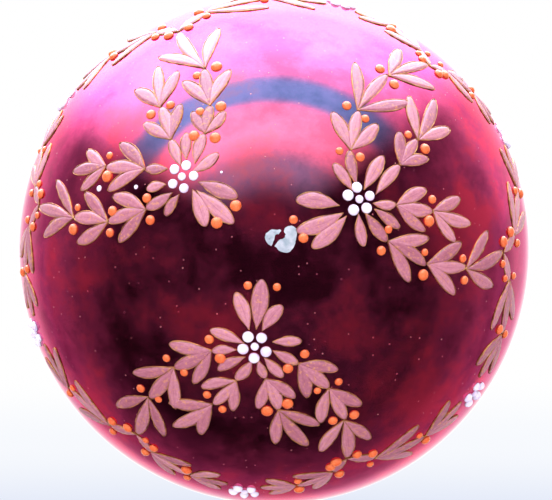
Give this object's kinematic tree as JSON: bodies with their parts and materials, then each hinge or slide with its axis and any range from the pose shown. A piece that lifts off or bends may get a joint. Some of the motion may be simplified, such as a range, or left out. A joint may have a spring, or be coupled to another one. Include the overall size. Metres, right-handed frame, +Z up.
{
  "type": "glass ball ornament",
  "caption": "Blown-glass Christmas ball with raised enamel flower sprays and pearls, a fluted metal cap and a spring-wire hanger loop.",
  "frame": {"origin": "the hang point: the inside top of the wire loop, where a hook carries the ornament", "axes": "+Z up out of the cap, along the axis of the neck; +X across the loop, through both wire holes"},
  "size_m": [0.0799, 0.0796, 0.0989],
  "materials": {
    "glass": "silvered inside, transparent magenta lacquer outside, mirror gloss",
    "cap_metal": "thin stamped metal, pale gold lacquer, glossy",
    "wire": "bright drawn spring wire",
    "enamel": "raised dusty pink enamel, satin, fine gold-bronze outline, orange glossy berries",
    "pearl": "white pearl, glossy"
  },
  "bodies": {
    "glass": {"glass_ball": "glass", "lower_flower_spray_1": "enamel", "lower_flower_spray_2": "enamel", "lower_flower_spray_3": "enamel", "lower_flower_pearls_1": "pearl", "lower_flower_pearls_2": "pearl", "lower_flower_pearls_3": "pearl", "lower_garland_1": "enamel", "lower_garland_2": "enamel", "lower_garland_3": "enamel", "lower_garland_4": "enamel", "lower_garland_5": "enamel", "lower_garland_6": "enamel", "lower_ring_pearls_1": "pearl", "lower_ring_pearls_2": "pearl", "lower_ring_pearls_3": "pearl", "lower_ring_pearls_4": "pearl", "lower_ring_pearls_5": "pearl", "lower_ring_pearls_6": "pearl", "upper_flower_spray_1": "enamel", "upper_flower_spray_2": "enamel", "upper_flower_spray_3": "enamel", "upper_flower_pearls_1": "pearl", "upper_flower_pearls_2": "pearl", "upper_flower_pearls_3": "pearl", "upper_garland_1": "enamel", "upper_garland_2": "enamel", "upper_garland_3": "enamel", "upper_garland_4": "enamel", "upper_garland_5": "enamel", "upper_garland_6": "enamel", "upper_ring_pearls_1": "pearl", "upper_ring_pearls_2": "pearl", "upper_ring_pearls_3": "pearl", "upper_ring_pearls_4": "pearl", "upper_ring_pearls_5": "pearl", "upper_ring_pearls_6": "pearl"},
    "cap": {"cap": "cap_metal"},
    "hanger": {"hanger_loop": "wire"},
    "leg_right": {"hanger_leg_right": "wire"},
    "leg_left": {"hanger_leg_left": "wire"}
  },
  "joints": [
    {"name": "cap_lift", "type": "slide", "parent": "glass", "child": "cap", "axis": [0, 0, 1], "range_m": [0, 0.028]},
    {"name": "hanger_slide", "type": "slide", "parent": "cap", "child": "hanger", "axis": [0, 0, 1], "range_m": [-0.003, 0]},
    {"name": "leg_right_flex", "type": "hinge", "parent": "hanger", "child": "leg_right", "pos_m": [0.002, 0, -0.0105], "axis": [0, 1, 0], "range_deg": [0, 12]},
    {"name": "leg_left_flex", "type": "hinge", "parent": "hanger", "child": "leg_left", "pos_m": [-0.002, 0, -0.0105], "axis": [0, 1, 0], "range_deg": [-12, 0]}
  ],
  "couplings": [
    {"joint": "leg_right_flex", "follows": "cap_lift", "rad_per_m": 7.2926},
    {"joint": "leg_left_flex", "follows": "cap_lift", "rad_per_m": -7.2926}
  ]
}
